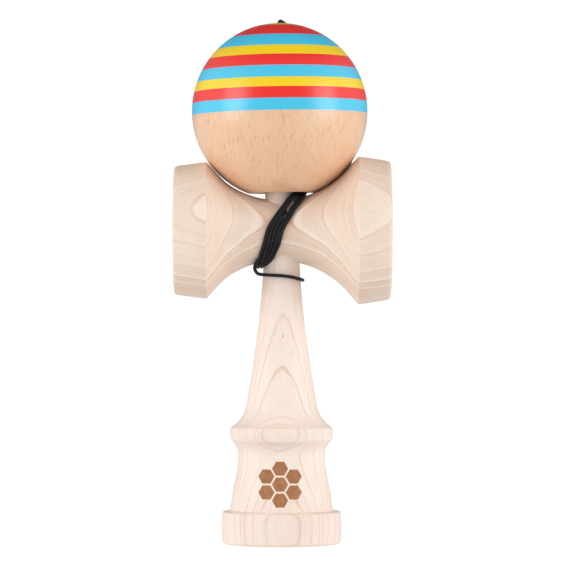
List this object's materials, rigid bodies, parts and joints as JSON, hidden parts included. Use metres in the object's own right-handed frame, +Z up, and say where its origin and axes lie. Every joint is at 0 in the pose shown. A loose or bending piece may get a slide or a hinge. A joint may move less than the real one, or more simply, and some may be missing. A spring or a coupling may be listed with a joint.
{
  "type": "kendama",
  "caption": "Wooden cup-and-ball skill toy: a turned handle with spike and base cup, a cross-piece with two cups, and a drilled striped ball tied on by a wound string.",
  "frame": {"origin": "centre of the foot's rim, on the surface that the toy stands on", "axes": "+Z up along the handle, +X towards the big cup, -Y towards the viewer, where the string comes out of the cross-piece"},
  "size_m": [0.0756, 0.0612, 0.1832],
  "materials": {
    "maple_handle": "fine-sanded pale maple, oiled",
    "maple_crosspiece": "fine-sanded pale maple, oiled",
    "beech": "clear satin lacquer over beech",
    "lacquer_blue": "gloss lacquer",
    "lacquer_red": "gloss lacquer",
    "lacquer_yellow": "gloss lacquer",
    "bead": "moulded",
    "string": "braided nylon cord",
    "engraving": "burnt into the wood"
  },
  "bodies": {
    "handle": {"ken": "maple_handle", "crosspiece": "maple_crosspiece", "ken_knot": "string", "string_outlet": "string", "string_wraps": "string", "string_stem_loop": "string", "string_back_run": "string"},
    "string_end": {"string_bead": "bead", "bead_knot": "string", "string_over_ball": "string"},
    "ball": {"ball": "beech", "paint_blue": "lacquer_blue", "paint_red": "lacquer_red", "paint_yellow": "lacquer_yellow"}
  },
  "joints": [
    {"name": "ball_lift", "type": "slide", "parent": "handle", "child": "string_end", "axis": [0, 0, 1], "range_m": [0, 0.045]},
    {"name": "ball_spin", "type": "hinge", "parent": "string_end", "child": "ball", "pos_m": [-0.00065, 0, 0.15075], "axis": [-0.014, 0, 0.9999], "continuous": true}
  ]
}
